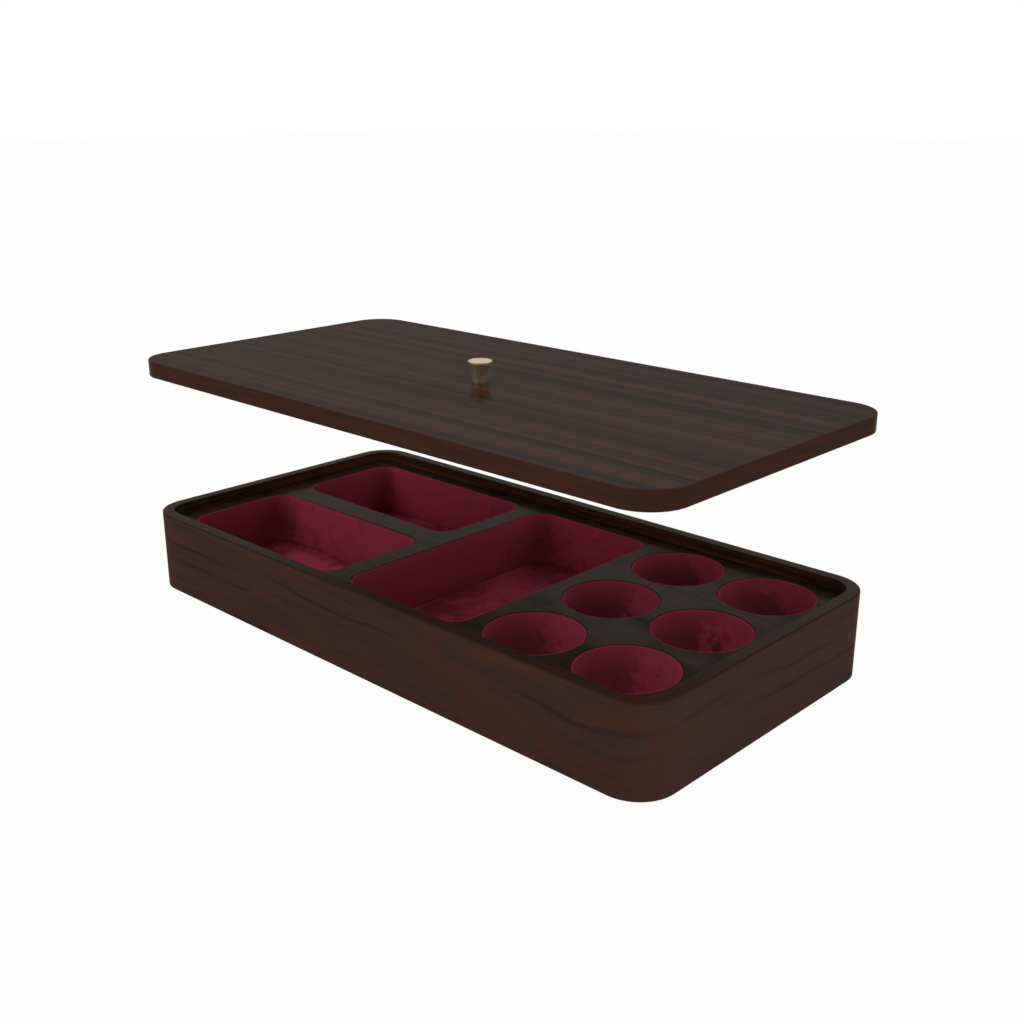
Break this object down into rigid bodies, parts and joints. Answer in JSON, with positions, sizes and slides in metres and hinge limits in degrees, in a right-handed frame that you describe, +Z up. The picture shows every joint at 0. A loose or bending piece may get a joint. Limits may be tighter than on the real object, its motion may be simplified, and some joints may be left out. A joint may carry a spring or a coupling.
{
  "type": "cufflink display box",
  "caption": "Shallow walnut display box with velvet-lined trays and round cups under a lift-off lid with a small brass knob.",
  "frame": {"origin": "centre of the footprint, on the surface that the box stands on", "axes": "+X along the length towards the cups, +Y towards the back, +Z up"},
  "size_m": [0.32, 0.16, 0.1274],
  "materials": {
    "walnut_case": "satin oiled walnut, figure running round the sides",
    "walnut_deck": "polished walnut, grain along X",
    "walnut_lid": "satin walnut, straight grain along X",
    "core_board": "raw routed board, hidden",
    "base_board": "sealed board",
    "pad_board": "thin fibre board, hidden",
    "base_baize": "pressed baize",
    "velvet": "crushed burgundy velvet",
    "brass": "satin lacquered brass",
    "steel": "zinc-plated steel"
  },
  "bodies": {
    "box": {"case_frame": "walnut_case", "base_panel": "base_board", "base_felt": "base_baize", "short_tray_block": "core_board", "long_tray_block": "core_board", "cup_1_block": "core_board", "cup_2_block": "core_board", "cup_3_block": "core_board", "cup_4_block": "core_board", "cup_5_block": "core_board", "cup_6_block": "core_board", "deck_panel": "walnut_deck", "rear_tray_wall_lining": "velvet", "rear_tray_floor_board": "pad_board", "rear_tray_floor_velvet": "velvet", "front_tray_wall_lining": "velvet", "front_tray_floor_board": "pad_board", "front_tray_floor_velvet": "velvet", "long_tray_wall_lining": "velvet", "long_tray_floor_board": "pad_board", "long_tray_floor_velvet": "velvet", "cup_1_lining": "velvet", "cup_2_lining": "velvet", "cup_3_lining": "velvet", "cup_4_lining": "velvet", "cup_5_lining": "velvet", "cup_6_lining": "velvet"},
    "lid": {"lid_panel": "walnut_lid", "lid_liner_board": "pad_board", "lid_liner_velvet": "velvet", "knob": "brass", "knob_screw": "steel"}
  },
  "joints": [
    {"name": "lid_lift", "type": "slide", "parent": "box", "child": "lid", "axis": [0, 0, 1], "range_m": [-0.07, 0.03]}
  ]
}
